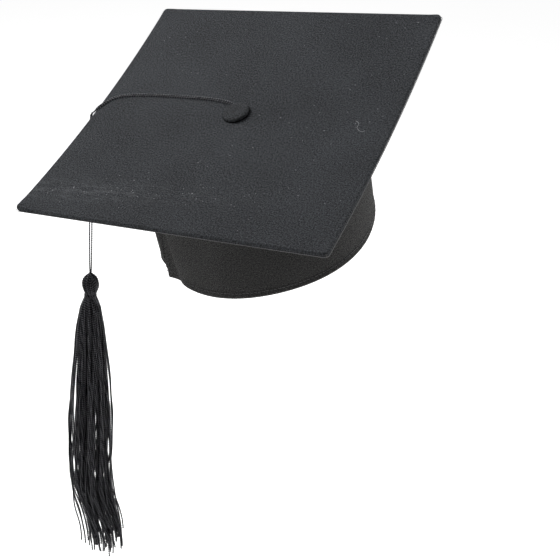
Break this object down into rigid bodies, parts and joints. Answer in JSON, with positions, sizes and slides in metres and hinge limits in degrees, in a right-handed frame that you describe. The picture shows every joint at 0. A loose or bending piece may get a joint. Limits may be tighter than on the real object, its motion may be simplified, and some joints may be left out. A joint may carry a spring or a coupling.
{
  "type": "graduation cap",
  "caption": "Soft graduation cap with a square cloth-covered board, a covered button, an elasticated crown and a long tassel hung from a doubled cord.",
  "frame": {"origin": "middle of the head opening, in the plane of the rim", "axes": "+Z is true up with the cap leaning as worn, the wearer faces -Y and their left hand is at +X; the tassel hangs along -Z"},
  "size_m": [0.3119, 0.335, 0.5455],
  "materials": {
    "board_cloth": "black woven polyester, slightly napped",
    "crown_cloth": "black woven polyester, soft",
    "lining_cloth": "black plain weave",
    "card": "grey-brown chipboard",
    "stiffening": "stiff open buckram",
    "elastic": "ribbed woven elastic",
    "label": "plain woven tape, no lettering",
    "button_metal": "plated pressing",
    "thread": "polyester sewing thread",
    "cord": "twisted rayon cord with a shine",
    "tassel_yarn": "glossy twisted rayon yarn"
  },
  "bodies": {
    "cap": {"board_core": "card", "board_top_cover": "board_cloth", "board_bottom_cover": "board_cloth", "button_cover": "board_cloth", "button_shell": "button_metal", "button_back_plate": "button_metal", "button_shank": "button_metal", "button_washer": "button_metal", "crown_top_panel": "crown_cloth", "crown_front_panel": "crown_cloth", "crown_back_panel": "crown_cloth", "front_stiffener": "stiffening", "sweatband": "lining_cloth", "elastic_band": "elastic", "elastic_casing": "lining_cloth", "side_seam_allowances": "crown_cloth", "care_label": "label", "rim_stitches": "thread"},
    "cord_loop": {"cord_on_board": "cord"},
    "hanging_cord": {"hanging_strand_a": "cord", "hanging_strand_b": "cord"},
    "tassel": {"tassel_head": "tassel_yarn", "tassel_core_knot": "cord", "tassel_neck_wrap": "tassel_yarn", "tassel_skirt": "tassel_yarn"}
  },
  "joints": [
    {"name": "loop_turn", "type": "hinge", "parent": "cap", "child": "cord_loop", "pos_m": [-0.02709, -0.00485, 0.08162], "axis": [-0.3955, -0.1373, 0.9081], "range_deg": [-8, 5]},
    {"name": "cord_swing", "type": "hinge", "parent": "cord_loop", "child": "hanging_cord", "pos_m": [-0.11561, 0.07975, 0.05108], "axis": [-0.7145, 0.6996, 0], "range_deg": [-40, 40]},
    {"name": "tassel_swing", "type": "hinge", "parent": "hanging_cord", "child": "tassel", "pos_m": [-0.11561, 0.07975, -0.08472], "axis": [0.6996, 0.7145, 0], "range_deg": [-35, 60]}
  ]
}
